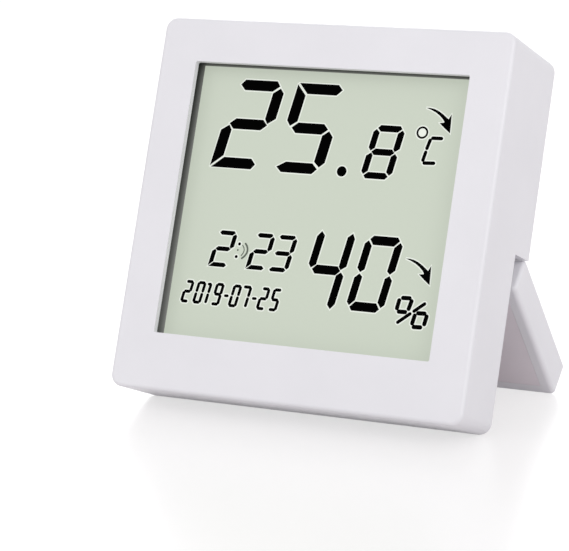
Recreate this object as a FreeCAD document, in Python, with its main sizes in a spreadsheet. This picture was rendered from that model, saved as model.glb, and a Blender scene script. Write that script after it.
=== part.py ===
import FreeCAD, Part
import math
import os
import re
import Sketcher
from FreeCAD import Vector

# Square desk thermometer with a liquid crystal display and a folding rear stand.
# Every piece is drawn upright: X across the face, Y from the face to the back, Z up.
# The finished pieces are then leaned back on the rear bottom edge, with the stand open.

doc = FreeCAD.newDocument("bathroom_thermometer")
sheet = doc.addObject("Spreadsheet::Sheet", "sizes")
pieces = []

# Sizes that can be set by themselves, in millimetres and degrees
sizes = {
    # Housing, from the outside
    "body_width": 80.0,
    "body_height": 80.0,
    "full_depth": 25.2,
    "low_depth": 17.0,
    "lean": 20.2,
    "corner_round": 2.6,
    "front_round": 0.8,
    "rear_round": 0.4,
    # Housing walls
    "side_wall": 2.0,
    "front_wall": 2.0,
    "cover_wall": 2.0,
    "cover_gap": 0.1,
    # Window and what shows in it
    "side_border": 8.7,
    "low_border": 12.1,
    "top_border": 9.4,
    "window_round": 0.4,
    "lip_depth": 1.4,
    "display_depth": 4.6,
    "gasket_width": 1.6,
    "gasket_inset": 0.1,
    "rebate_gap": 0.1,
    # Display cell, from its front film to its rear film
    "film_thickness": 0.2,
    "film_border": 1.8,
    "glass_thickness": 0.7,
    "glass_border": 2.2,
    "contact_ledge": 2.4,
    # Contact strip between the glass ledge and the board
    "strip_length": 2.4,
    "strip_width": 1.6,
    "strip_inset": 0.4,
    "strip_margin": 3.6,
    # Frame that holds the display cell against the front
    "carrier_wall": 1.2,
    "carrier_gap": 0.15,
    "shelf_width": 1.5,
    # Circuit board
    "board_thickness": 1.2,
    "board_gap": 0.4,
    # Screws that close the case, one in each corner
    "case_screw_radius": 1.0,
    "case_screw_length": 8.0,
    "case_head_radius": 1.9,
    "case_head_height": 1.4,
    "case_head_sink": 0.4,
    "case_boss_radius": 2.2,
    "case_boss_inset": 2.8,
    "case_boss_length": 3.0,
    "case_boss_gap": 0.05,
    "case_web": 1.2,
    "hole_gap": 0.15,
    "thread_gap": 0.02,
    "pilot_spare": 1.0,
    # Screws that hold the board
    "board_screw_radius": 0.8,
    "board_screw_length": 5.0,
    "board_head_radius": 1.5,
    "board_head_height": 1.0,
    "board_boss_radius": 1.7,
    "board_boss_inset": 2.0,
    "board_screw_inset": 17.6,
    # Battery bay with two AAA cells side by side
    "cell_radius": 5.25,
    "cell_length": 44.5,
    "nub_radius": 1.9,
    "nub_length": 0.8,
    "cell_gap": 0.6,
    "cell_clearance": 0.3,
    "cell_bevel": 0.5,
    "cell_floor_gap": 0.1,
    "cell_door_gap": 0.2,
    "leaf_room": 4.1,
    "bay_wall": 1.2,
    "door_thickness": 1.4,
    "door_ledge": 1.8,
    "door_gap": 0.15,
    "door_low_margin": 4.05,
    "door_round": 1.5,
    # Door tabs, latch and centre rib
    "tab_thickness": 1.0,
    "tab_length": 3.2,
    "tab_gap": 0.2,
    "tab_width": 4.0,
    "tab_offset": 7.0,
    "latch_width": 8.0,
    "rib_width": 1.2,
    "rib_depth": 3.0,
    "rib_length": 30.0,
    "grip_width": 1.0,
    "grip_length": 10.0,
    "grip_pitch": 2.0,
    "grip_depth": 0.4,
    "grip_count": 4,
    "grip_inset": 4.0,
    # Battery contacts
    "contact_thickness": 0.4,
    "contact_seat": 0.05,
    "contact_width": 8.0,
    "contact_height": 8.0,
    "contact_foot_gap": 0.1,
    "leg_width": 1.6,
    "dimple_radius": 1.6,
    "dimple_height": 0.5,
    "leaf_thickness": 0.3,
    "leaf_reach": 3.2,
    "leaf_return": 1.2,
    "leaf_width": 6.0,
    # Keys in the back and the switches behind them
    "key_radius": 2.5,
    "key_hole_gap": 0.15,
    "key_flange_step": 0.7,
    "key_flange_height": 0.9,
    "key_flange_gap": 0.05,
    "key_stem_radius": 1.3,
    "key_sink": 0.1,
    "key_bevel": 0.35,
    "key_pitch": 11.0,
    "key_inset": 7.4,
    "key_door_gap": 1.05,
    "key_travel": 0.4,
    "dish_depth": 0.8,
    "dish_margin": 1.4,
    "switch_width": 6.0,
    "switch_body": 3.5,
    "switch_height": 5.0,
    "plunger_radius": 1.7,
    "plunger_gap": 0.1,
    "plunger_depth": 1.5,
    # Air slots over the climate sensor
    "vent_width": 1.2,
    "vent_length": 7.0,
    "vent_pitch": 2.6,
    "vent_count": 5,
    "vent_inset": 11.7,
    # Parts on the board
    "chip_radius": 6.0,
    "chip_rise": 1.4,
    "chip_bevel": 1.1,
    "chip_up": 27.6,
    "crystal_radius": 1.0,
    "crystal_length": 6.0,
    "crystal_gap": 5.0,
    "capacitor_radius": 2.0,
    "capacitor_length": 7.0,
    "capacitor_bevel": 0.4,
    "capacitor_inset": 17.6,
    "capacitor_up": 15.6,
    "radio_inset": 11.1,
    "radio_width": 13.0,
    "radio_height": 17.0,
    "radio_up": 11.6,
    "radio_thickness": 0.8,
    "shield_rise": 1.8,
    "shield_margin": 1.0,
    "antenna_height": 4.5,
    "sensor_width": 4.0,
    "sensor_rise": 1.6,
    "sensor_port": 0.8,
    # Folding stand and its hinge
    "stand_front_gap": 0.25,
    "stand_low_gap": 0.15,
    "stand_top_gap": 0.15,
    "stand_side_gap": 0.1,
    "knuckle_radius": 1.1,
    "pin_radius": 0.5,
    "pin_press": 0.01,
    "pin_running": 0.06,
    "pin_grip": 4.5,
    "pin_access_gap": 0.2,
    "bore_overlap": 0.5,
    "lug_relief": 0.05,
    "lug_width": 7.0,
    "lug_inset": 16.0,
    "lug_side_gap": 0.25,
    "lug_swing_gap": 0.2,
    "stop_gap": 0.1,
    "foot_round": 0.4,
    "stand_top_round": 0.8,
    "stand_edge_round": 1.0,
    "stand_rim": 2.6,
    "stand_ledge": 1.2,
    "stand_skin": 1.8,
    "stand_head": 4.4,
    "stand_cover_thickness": 1.4,
    "stand_cover_gap": 0.05,
    "stand_rib": 1.2,
    "stand_rib_pitch": 18.0,
}

# Sizes that follow from others
formulas = {
    # Housing, stepped under what the upper half holds
    "dish_reach": "key_radius + dish_margin",
    "cell_spacing": "2 * cell_radius + cell_gap",
    "bay_reach": "cell_spacing / 2 + cell_radius + cell_clearance",
    "door_reach": "bay_reach + door_ledge",
    "key_room": "key_inset + dish_reach + key_door_gap",
    "upper_height": "door_low_margin + 2 * (door_reach + door_gap) + key_room",
    "notch_height": "body_height - upper_height",
    "cavity_half": "body_width / 2 - side_wall",
    "cavity_low": "side_wall",
    "cavity_top": "body_height - side_wall",
    "cover_half": "cavity_half - cover_gap",
    "cover_low": "cavity_low + cover_gap",
    "cover_top": "cavity_top - cover_gap",
    "low_inner": "low_depth - cover_wall",
    "full_inner": "full_depth - cover_wall",
    # Window and what shows in it
    "window_half": "body_width / 2 - side_border",
    "window_low": "low_border",
    "window_top": "body_height - top_border",
    # Display cell, from its front film to its rear film
    "film_half": "window_half + film_border",
    "film_low": "window_low - film_border",
    "film_top": "window_top + film_border",
    "glass_half": "window_half + glass_border",
    "glass_low": "window_low - glass_border",
    "glass_top": "window_top + glass_border",
    "ledge_low": "glass_low - contact_ledge",
    "front_glass_depth": "display_depth + film_thickness",
    "rear_glass_depth": "front_glass_depth + glass_thickness",
    "reflector_depth": "rear_glass_depth + glass_thickness",
    "shelf_depth": "reflector_depth + film_thickness",
    # Contact strip between the glass ledge and the board
    "strip_half": "glass_half - strip_margin",
    "strip_low": "ledge_low + strip_inset",
    # Frame that holds the display cell against the front
    "carrier_inner": "glass_half + carrier_gap",
    "carrier_half": "carrier_inner + carrier_wall",
    "carrier_low": "ledge_low - carrier_gap - carrier_wall",
    "carrier_top": "glass_top + carrier_gap + carrier_wall",
    # Circuit board
    "board_depth": "rear_glass_depth + strip_length",
    "board_rear": "board_depth + board_thickness",
    "board_half": "cavity_half - board_gap",
    "board_low": "cavity_low + board_gap",
    "board_top": "cavity_top - board_gap",
    # Screws that close the case, one in each corner
    "case_x": "cavity_half - case_boss_inset",
    "case_low": "cavity_low + case_boss_inset",
    "case_high": "cavity_top - case_boss_inset",
    "case_notch": "case_boss_radius + board_gap",
    "seat_sink": "case_head_sink + case_head_height",
    "low_seat": "low_depth - seat_sink",
    "full_seat": "full_depth - seat_sink",
    "low_boss_end": "low_inner - case_boss_length - case_boss_gap",
    "full_boss_end": "full_inner - case_boss_length - case_boss_gap",
    # Screws that hold the board
    "board_screw_x": "board_half - board_screw_inset",
    "board_screw_low": "cavity_low + board_boss_inset",
    "board_screw_high": "cavity_top - board_boss_inset",
    # Battery bay with two AAA cells side by side
    "bay_half": "(cell_length + dimple_height + leaf_room) / 2 + contact_thickness + contact_seat",
    "bay_floor": "full_depth - door_thickness - cell_door_gap - 2 * cell_radius - cell_floor_gap",
    "bay_front": "bay_floor - bay_wall",
    "cell_axis": "bay_floor + cell_floor_gap + cell_radius",
    "bay_middle": "notch_height + door_low_margin + door_gap + door_reach",
    "cell_upper": "bay_middle + cell_spacing / 2",
    "cell_lower": "bay_middle - cell_spacing / 2",
    "door_half": "bay_half + bay_wall + door_ledge",
    "door_inner": "full_depth - door_thickness",
    # Door tabs, latch and centre rib
    "tab_inner": "bay_half + bay_wall + tab_gap",
    "tab_outer": "tab_inner + tab_thickness",
    # Battery contacts
    "plate_outer": "bay_half - contact_seat",
    "plate_inner": "plate_outer - contact_thickness",
    "dimple_tip": "plate_inner - dimple_height",
    "cell_tail": "cell_length - dimple_tip",
    "contact_foot": "bay_floor + contact_foot_gap",
    # Keys in the back and the switches behind them
    "key_height": "body_height - key_inset",
    "key_flange_radius": "key_radius + key_flange_step",
    "switch_top": "board_rear + switch_height",
    "dish_half": "key_pitch + dish_reach",
    # Air slots over the climate sensor
    "vent_middle": "vent_inset - cavity_half",
    "vent_first": "vent_middle - vent_pitch * (vent_count - 1) / 2",
    # Parts on the board
    "chip_height": "board_low + chip_up",
    "crystal_x": "chip_radius + crystal_gap + crystal_length / 2",
    "capacitor_x": "board_half - capacitor_inset",
    "capacitor_height": "board_low + capacitor_up",
    "radio_x": "radio_inset + radio_width / 2 - board_half",
    "radio_low": "board_low + radio_up",
    # Folding stand and its hinge
    "lug_radius": "knuckle_radius - lug_relief",
    "lug_offset": "body_width / 2 - lug_inset",
    "pivot_y": "full_depth - knuckle_radius",
    "pivot_z": "notch_height - stand_top_gap - knuckle_radius",
    "stand_half": "body_width / 2 - stand_side_gap",
    "stand_inner": "low_depth + stand_front_gap",
    "stand_low": "stand_low_gap",
    "stand_top": "pivot_z + knuckle_radius",
    "tray_half": "stand_half - stand_rim",
    "tray_low": "stand_low + stand_rim",
    "tray_top": "stand_top - stand_head",
    "well_half": "tray_half - stand_ledge",
    "well_low": "tray_low + stand_ledge",
    "well_top": "tray_top - stand_ledge",
    "stand_cover_rear": "stand_inner + stand_cover_thickness",
    "pin_reach": "lug_width / 2 + lug_side_gap + pin_grip",
    "access_half": "pin_reach + pin_access_gap",
    "bore_length": "lug_offset + pin_reach - access_half + bore_overlap",
    "bore_middle": "lug_offset + pin_reach - bore_length / 2",
    # How the thermometer stands: both contact edges on the floor, origin under its middle
    "floor_lift": "rear_round * (1 - sin(lean) - cos(lean))",
    "foot_y": "stand_inner + foot_round - pivot_y",
    "foot_z": "stand_low + foot_round - pivot_z",
    "foot_reach": "sqrt(foot_y * foot_y + foot_z * foot_z)",
    "pivot_rise": "pivot_z * cos(lean) - (pivot_y - low_depth) * sin(lean) + floor_lift",
    "foot_swing": "acos((pivot_rise - foot_round) / foot_reach) / 1 deg",
    "foot_fold": "atan(foot_y / foot_z) / 1 deg",
    "open_angle": "foot_swing + foot_fold + lean",
    "slack_angle": "90 - open_angle",
    "lip_rise": "(knuckle_radius - lug_radius * sin(slack_angle)) * tan(slack_angle)",
    "lip_drop": "lug_radius * cos(slack_angle) - lip_rise + stop_gap / cos(slack_angle)",
    "stand_angle": "open_angle - lean",
    "front_edge": "(front_round - low_depth) * cos(lean) + front_round * sin(lean) - front_round",
    "tip_y": "full_depth - foot_round - pivot_y",
    "pivot_run": "(pivot_y - low_depth) * cos(lean) + pivot_z * sin(lean)",
    "tip_edge": "pivot_run + tip_y * cos(stand_angle) - foot_z * sin(stand_angle) + foot_round",
    "middle_shift": "-(front_edge + tip_edge) / 2",
}

names = list(sizes) + list(formulas)
for row, name in enumerate(names, 1):
    sheet.set("A%d" % row, name)
    sheet.set("B%d" % row, str(sizes[name]) if name in sizes else "=" + formulas[name])
    sheet.setAlias("B%d" % row, name)
doc.recompute()


def bound(formula):
    """The formula with each size's name turned into a reference to its cell."""
    def reference(found):
        word = found.group()
        return "sizes." + word if word in names else word
    return re.sub(r"[a-z][a-z_0-9]*", reference, formula)


# The housing leans about its rear bottom edge, and the stand also turns about its pins
housing_place = bound(
    "placement(vector(0; middle_shift; floor_lift); rotation(vector(1; 0; 0); -lean))"
    " * placement(vector(0; -low_depth; 0); rotation(vector(1; 0; 0); 0))")
stand_place = housing_place + bound(
    " * placement(vector(0; pivot_y; pivot_z); rotation(vector(1; 0; 0); open_angle))"
    " * placement(vector(0; -pivot_y; -pivot_z); rotation(vector(1; 0; 0); 0))")


def value(name):
    """A cell's present value."""
    return float(sheet.get(name))


def new_body(label, place=housing_place):
    """An empty body that stands where the finished piece stands."""
    body = doc.addObject("PartDesign::Body", label)
    body.Label = label
    body.setExpression("Placement", place)
    pieces.append(body)
    return body


def origin_part(body, role):
    """One of the body's own planes or axes."""
    return next(item for item in body.Origin.OriginFeatures if item.Role == role)


def new_sketch(body, role, offset):
    """An empty sketch on one of the body's planes, moved along that plane's normal."""
    sketch = body.newObject("Sketcher::SketchObject", "sketch")
    sketch.AttachmentSupport = (origin_part(body, role), [""])
    sketch.MapMode = "FlatFace"
    sketch.setExpression("AttachmentOffset.Base.z", bound(offset))
    return sketch


def add_outline(sketch, corners):
    """Straight sides through corners that are each held to the sketch's origin."""
    first = sketch.GeometryCount
    count = len(corners)
    turn = 2 * math.pi / count
    start = [Vector(9 * math.cos(turn * i), 9 * math.sin(turn * i), 0) for i in range(count)]
    for i in range(count):
        sketch.addGeometry(Part.LineSegment(start[i], start[(i + 1) % count]), False)
    for i in range(count):
        sketch.addConstraint(
            Sketcher.Constraint("Coincident", first + i, 2, first + (i + 1) % count, 1))
    for i, (across, up) in enumerate(corners):
        for kind, place, formula in (("DistanceX", start[i].x, across), ("DistanceY", start[i].y, up)):
            held = sketch.addConstraint(Sketcher.Constraint(kind, -1, 1, first + i, 1, place))
            sketch.setExpression("Constraints[%d]" % held, bound(formula))


def add_circle(sketch, across, up, radius):
    """A circle whose centre and radius are held."""
    circle = sketch.addGeometry(Part.Circle(Vector(1, 1, 0), Vector(0, 0, 1), 1), False)
    for kind, formula in (("DistanceX", across), ("DistanceY", up)):
        held = sketch.addConstraint(Sketcher.Constraint(kind, -1, 1, circle, 3, 1.0))
        sketch.setExpression("Constraints[%d]" % held, bound(formula))
    held = sketch.addConstraint(Sketcher.Constraint("Radius", circle, 1.0))
    sketch.setExpression("Constraints[%d]" % held, bound(radius))


def box_corners(left, right, low, high):
    """The four corners of an upright rectangle."""
    return [(left, low), (right, low), (right, high), (left, high)]


def face_outline(body, depth, *shapes):
    """A sketch parallel to the face, at a depth behind it, with one outline for each shape."""
    sketch = new_sketch(body, "XZ_Plane", "-(%s)" % depth)
    for corners in shapes:
        add_outline(sketch, corners)
    return sketch


def face_circles(body, depth, centres, radius):
    """A sketch parallel to the face, at a depth behind it, with equal circles."""
    sketch = new_sketch(body, "XZ_Plane", "-(%s)" % depth)
    for across, up in centres:
        add_circle(sketch, across, up, radius)
    return sketch


def side_outline(body, offset, corners):
    """A sketch seen from the side: its axes are Y and Z, and it lies at X = offset."""
    sketch = new_sketch(body, "YZ_Plane", offset)
    add_outline(sketch, corners)
    return sketch


def pad(body, sketch, length, both_ways=False):
    """Material from a face sketch towards the back, or from a side sketch to both sides."""
    feature = body.newObject("PartDesign::Pad", "pad")
    feature.Profile = sketch
    feature.setExpression("Length", bound(length))
    if both_ways:
        feature.Midplane = True
    else:
        feature.Reversed = sketch.AttachmentSupport[0][0].Role == "XZ_Plane"
    return feature


def pocket(body, sketch, length, both_ways=False):
    """A cut from a face sketch towards the back, or from a side sketch to both sides."""
    feature = body.newObject("PartDesign::Pocket", "pocket")
    feature.Profile = sketch
    feature.setExpression("Length", bound(length))
    if both_ways:
        feature.Midplane = True
    return feature


def dress_edges(body, kind, measure, formula, wanted):
    """A fillet or chamfer on the tip's edges that the test picks."""
    doc.recompute()
    base = body.Tip
    chosen = ["Edge%d" % (i + 1) for i, edge in enumerate(base.Shape.Edges) if wanted(edge.BoundBox)]
    feature = body.newObject("PartDesign::" + kind, kind.lower())
    feature.Base = (base, chosen)
    feature.setExpression(measure, bound(formula))


def round_edges(body, radius, wanted):
    """Rounds the edges that the test picks."""
    dress_edges(body, "Fillet", "Radius", radius, wanted)


def bevel_edges(body, width, wanted):
    """Bevels the edges that the test picks."""
    dress_edges(body, "Chamfer", "Size", width, wanted)


def same(a, b):
    """True for two lengths that differ by less than a hundredth of a micrometre."""
    return abs(a - b) < 1e-5


def runs_deep(box):
    """True for an edge that runs from front to back."""
    return same(box.XMin, box.XMax) and same(box.ZMin, box.ZMax)


def at_depth(box, depth):
    """True for an edge that lies in the plane at that depth."""
    return same(box.YMin, depth) and same(box.YMax, depth)


def plate(label, depth, thickness, left, right, low, high):
    """A flat rectangular piece parallel to the face."""
    body = new_body(label)
    outline = face_outline(body, depth, box_corners(left, right, low, high))
    pad(body, outline, thickness)
    return body


case_centres = [("case_x", "case_low"), ("-case_x", "case_low"),
                ("case_x", "case_high"), ("-case_x", "case_high")]
low_case_centres = case_centres[:2]
high_case_centres = case_centres[2:]
board_centres = [("board_screw_x", "board_screw_low"), ("-board_screw_x", "board_screw_low"),
                 ("board_screw_x", "board_screw_high"), ("-board_screw_x", "board_screw_high")]
key_labels = ["set", "down", "up"]
key_centres = [("-key_pitch", "key_height"), ("0", "key_height"), ("key_pitch", "key_height")]


def make_front_housing():
    """The face and the four sides in one moulding, stepped at the back for the stand."""
    body = new_body("front_housing")
    block = face_outline(body, "0", box_corners("-body_width / 2", "body_width / 2", "0", "body_height"))
    pad(body, block, "full_depth")
    round_edges(body, "corner_round", runs_deep)
    step = side_outline(body, "0", box_corners("low_depth", "full_depth + 1", "-1", "notch_height"))
    pocket(body, step, "body_width + 2", both_ways=True)
    round_edges(body, "front_round", lambda box: at_depth(box, 0))
    notch = value("notch_height")
    low_rear = value("low_depth")
    full_rear = value("full_depth")
    round_edges(body, "rear_round", lambda box: (
        (at_depth(box, low_rear) or at_depth(box, full_rear)) and not same(box.ZMin + box.ZMax, 2 * notch)))
    cavity = face_outline(body, "front_wall",
                          box_corners("-cavity_half", "cavity_half", "cavity_low", "cavity_top"))
    pocket(body, cavity, "full_depth")
    inner_round = value("corner_round") - value("side_wall")
    if inner_round > 0.2:
        half = value("cavity_half")
        low = value("cavity_low")
        top = value("cavity_top")
        round_edges(body, "corner_round - side_wall", lambda box: (
            runs_deep(box) and same(abs(box.XMin), half)
            and (same(box.ZMin, low) or same(box.ZMin, top))))

    # Corner bosses with two webs each, and bosses for the board
    for centres, end in ((low_case_centres, "low_boss_end"), (high_case_centres, "full_boss_end")):
        height = "%s - front_wall + 0.5" % end
        pad(body, face_circles(body, "front_wall - 0.5", centres, "case_boss_radius"), height)
        for across, up in centres:
            wall_x = "cavity_half + 0.5" if across == "case_x" else "-cavity_half - 0.5"
            wall_z = "cavity_low - 0.5" if up == "case_low" else "cavity_top + 0.5"
            flat = box_corners(across, wall_x, up + " - case_web / 2", up + " + case_web / 2")
            pad(body, face_outline(body, "front_wall - 0.5", flat), height)
            tall = box_corners(across + " - case_web / 2", across + " + case_web / 2", up, wall_z)
            pad(body, face_outline(body, "front_wall - 0.5", tall), height)
        pilot = "case_screw_length - case_boss_length + pilot_spare"
        holes = face_circles(body, end + " - (" + pilot + ")", centres, "case_screw_radius + thread_gap")
        pocket(body, holes, pilot + " + 1")
    pad(body, face_circles(body, "front_wall - 0.5", board_centres, "board_boss_radius"),
        "board_depth - front_wall + 0.5")
    pocket(body, face_circles(body, "board_depth - board_screw_length", board_centres,
                              "board_screw_radius + thread_gap"), "board_screw_length + 1")

    # Window through the face, with a rebate behind it for the gasket
    window = box_corners("-window_half", "window_half", "window_low", "window_top")
    pocket(body, face_outline(body, "-1", window), "front_wall + 2")
    half = value("window_half")
    low = value("window_low")
    top = value("window_top")
    round_edges(body, "window_round", lambda box: (
        runs_deep(box) and same(abs(box.XMin), half) and (same(box.ZMin, low) or same(box.ZMin, top))))
    seat = "gasket_width + rebate_gap"
    rebate = box_corners("-window_half - (%s)" % seat, "window_half + %s" % seat,
                         "window_low - (%s)" % seat, "window_top + %s" % seat)
    pocket(body, face_outline(body, "lip_depth", rebate), "front_wall - lip_depth")
    return body


def make_back_cover():
    """The stepped rear panel with the battery bay, key holes, air slots and hinge lugs."""
    body = new_body("back_cover")
    profile = [("low_inner", "cover_low"), ("low_depth", "cover_low"),
               ("low_depth", "notch_height"), ("full_depth", "notch_height"),
               ("full_depth", "cover_top"), ("full_inner", "cover_top"),
               ("full_inner", "notch_height + cover_wall"), ("low_inner", "notch_height + cover_wall")]
    pad(body, side_outline(body, "0", profile), "2 * cover_half", both_ways=True)
    low = value("cover_low")
    top = value("cover_top")
    if value("corner_round") - value("side_wall") > 0.2:
        round_edges(body, "corner_round - side_wall", lambda box: (
            runs_deep(box) and (same(box.ZMin, low) or same(box.ZMin, top))))

    # Battery bay, standing inwards from the upper panel
    tub = box_corners("-bay_half - bay_wall", "bay_half + bay_wall",
                      "bay_middle - bay_reach - bay_wall", "bay_middle + bay_reach + bay_wall")
    pad(body, face_outline(body, "bay_front", tub), "full_inner - bay_front + 0.5")
    well = box_corners("-bay_half", "bay_half", "bay_middle - bay_reach", "bay_middle + bay_reach")
    pocket(body, face_outline(body, "bay_floor", well), "full_depth - bay_floor + 1")
    seat = box_corners("-door_half - door_gap", "door_half + door_gap",
                       "bay_middle - door_reach - door_gap", "bay_middle + door_reach + door_gap")
    pocket(body, face_outline(body, "door_inner", seat), "door_thickness + 1")
    edge = value("door_half") + value("door_gap")
    round_edges(body, "door_round + door_gap", lambda box: runs_deep(box) and same(abs(box.XMin), edge))
    tab_slots = face_outline(
        body, "full_inner - 1",
        box_corners("tab_inner - tab_gap / 2", "tab_outer + tab_gap / 2",
                    "bay_middle - latch_width / 2 - tab_gap", "bay_middle + latch_width / 2 + tab_gap"),
        *[box_corners("-tab_outer - tab_gap / 2", "-tab_inner + tab_gap / 2",
                      "bay_middle %s tab_offset - tab_width / 2 - tab_gap" % sign,
                      "bay_middle %s tab_offset + tab_width / 2 + tab_gap" % sign) for sign in "-+"])
    pocket(body, tab_slots, "cover_wall + 2")
    leg_slots = face_outline(
        body, "bay_front - 1",
        *[box_corners(start, end, middle + " - leg_width / 2 - contact_seat",
                      middle + " + leg_width / 2 + contact_seat")
          for middle in ("cell_upper", "cell_lower")
          for start, end in (("-bay_half", "-plate_inner + contact_seat"),
                             ("plate_inner - contact_seat", "bay_half"))])
    pocket(body, leg_slots, "bay_wall + 2")

    # Round holes for the keys in a shallow dish
    dish = box_corners("-dish_half", "dish_half", "key_height - dish_reach", "key_height + dish_reach")
    pocket(body, face_outline(body, "full_depth - dish_depth", dish), "dish_depth + 1")
    end = value("dish_half")
    round_edges(body, "dish_reach - 0.01", lambda box: runs_deep(box) and same(abs(box.XMin), end))
    pocket(body, face_circles(body, "full_inner - 1", key_centres, "key_radius + key_hole_gap"),
           "cover_wall + 2")

    # A row of air slots
    doc.recompute()
    slot = box_corners("vent_first - vent_width / 2", "vent_first + vent_width / 2",
                       "key_height - vent_length / 2", "key_height + vent_length / 2")
    vent = pocket(body, face_outline(body, "full_inner - 1", slot), "cover_wall + 2")
    doc.recompute()
    vents = body.newObject("PartDesign::LinearPattern", "vents")
    vents.Originals = [vent]
    vents.Direction = (origin_part(body, "X_Axis"), [""])
    vents.setExpression("Length", bound("vent_pitch * (vent_count - 1)"))
    vents.setExpression("Occurrences", bound("vent_count"))
    body.Tip = vents
    doc.recompute()

    # Screw bosses with sunk seats for the heads
    for centres, inner, seat_depth, outer in (
            (low_case_centres, "low_inner", "low_seat", "low_depth"),
            (high_case_centres, "full_inner", "full_seat", "full_depth")):
        pad(body, face_circles(body, inner + " - case_boss_length", centres, "case_boss_radius"),
            "case_boss_length + 0.5")
        pocket(body, face_circles(body, inner + " - case_boss_length - 1", centres,
                                  "case_screw_radius + hole_gap"), "case_boss_length + cover_wall + 2")
        pocket(body, face_circles(body, seat_depth, centres, "case_head_radius + hole_gap"),
               "seat_sink + 1")

    # Two lugs under the step carry the hinge pins
    for side in ("-", ""):
        offset = side + "lug_offset"
        stem = box_corners("pivot_y - lug_radius", "pivot_y + lug_radius", "pivot_z", "notch_height + 0.5")
        pad(body, side_outline(body, offset, stem), "lug_width", both_ways=True)
        barrel = new_sketch(body, "YZ_Plane", offset)
        add_circle(barrel, "pivot_y", "pivot_z", "lug_radius")
        pad(body, barrel, "lug_width", both_ways=True)
        bore = new_sketch(body, "YZ_Plane", offset)
        add_circle(bore, "pivot_y", "pivot_z", "pin_radius + pin_running")
        pocket(body, bore, "lug_width + 1", both_ways=True)
    return body


def make_battery_door():
    """A flat door that drops into the back, with straight tabs, a latch and a centre rib."""
    body = new_body("battery_door")
    panel = box_corners("-door_half", "door_half", "bay_middle - door_reach", "bay_middle + door_reach")
    pad(body, face_outline(body, "door_inner", panel), "door_thickness")
    round_edges(body, "door_round", runs_deep)
    start = "door_inner - tab_length"
    reach = "tab_length + 0.2"
    latch = box_corners("tab_inner", "tab_outer",
                        "bay_middle - latch_width / 2", "bay_middle + latch_width / 2")
    pad(body, face_outline(body, start, latch), reach)
    for sign in "-+":
        tab = box_corners("-tab_outer", "-tab_inner",
                          "bay_middle %s tab_offset - tab_width / 2" % sign,
                          "bay_middle %s tab_offset + tab_width / 2" % sign)
        pad(body, face_outline(body, start, tab), reach)
    rib = box_corners("-rib_length / 2", "rib_length / 2",
                      "bay_middle - rib_width / 2", "bay_middle + rib_width / 2")
    pad(body, face_outline(body, "door_inner - rib_depth", rib), "rib_depth + 0.2")
    doc.recompute()
    last = "door_half - grip_inset"
    groove = box_corners("%s - grip_width" % last, last,
                         "bay_middle - grip_length / 2", "bay_middle + grip_length / 2")
    cut = pocket(body, face_outline(body, "full_depth - grip_depth", groove), "grip_depth + 1")
    doc.recompute()
    grips = body.newObject("PartDesign::LinearPattern", "grips")
    grips.Originals = [cut]
    grips.Direction = (origin_part(body, "X_Axis"), [""])
    grips.Reversed = True
    grips.setExpression("Length", bound("grip_pitch * (grip_count - 1)"))
    grips.setExpression("Occurrences", bound("grip_count"))
    body.Tip = grips
    doc.recompute()
    return body


def make_display():
    """The display cell: film, two glasses with a contact ledge, and the rear film."""
    plate("front_polariser", "display_depth", "film_thickness", "-film_half", "film_half",
          "film_low", "film_top")
    plate("front_glass", "front_glass_depth", "glass_thickness", "-glass_half", "glass_half",
          "ledge_low", "glass_top")
    plate("rear_glass", "rear_glass_depth", "glass_thickness", "-glass_half", "glass_half",
          "glass_low", "glass_top")
    plate("reflector_film", "reflector_depth", "film_thickness", "-film_half", "film_half",
          "film_low", "film_top")
    plate("zebra_strip", "rear_glass_depth", "strip_length", "-strip_half", "strip_half",
          "strip_low", "strip_low + strip_width")


def make_display_gasket():
    """The black ring between the window's edge and the display."""
    body = new_body("display_gasket")
    outer = box_corners("-window_half - gasket_width", "window_half + gasket_width",
                        "window_low - gasket_width", "window_top + gasket_width")
    inner = box_corners("-window_half - gasket_inset", "window_half + gasket_inset",
                        "window_low - gasket_inset", "window_top + gasket_inset")
    pad(body, face_outline(body, "lip_depth", outer), "display_depth - lip_depth")
    pocket(body, face_outline(body, "lip_depth - 1", inner), "display_depth + 1")
    return body


def make_display_carrier():
    """The frame round the glass, with a shelf behind it and a slot for the contact strip."""
    body = new_body("display_carrier")
    outer = box_corners("-carrier_half", "carrier_half", "carrier_low", "carrier_top")
    pad(body, face_outline(body, "front_wall", outer), "board_depth - front_wall")
    well = box_corners("-carrier_inner", "carrier_inner", "ledge_low - carrier_gap",
                       "glass_top + carrier_gap")
    pocket(body, face_outline(body, "front_wall - 1", well), "shelf_depth - front_wall + 1")
    hole = box_corners("-glass_half + shelf_width", "glass_half - shelf_width",
                       "glass_low + shelf_width", "glass_top - shelf_width")
    pocket(body, face_outline(body, "shelf_depth - 1", hole), "board_depth")
    slot = box_corners("-strip_half - carrier_gap", "strip_half + carrier_gap",
                       "strip_low - carrier_gap", "strip_low + strip_width + carrier_gap")
    pocket(body, face_outline(body, "shelf_depth - 1", slot), "board_depth")
    notches = face_circles(body, "front_wall - 1", case_centres, "case_notch")
    for across, up in board_centres:
        add_circle(notches, across, up, "board_boss_radius + board_gap")
    pocket(body, notches, "board_depth")
    return body


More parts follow.
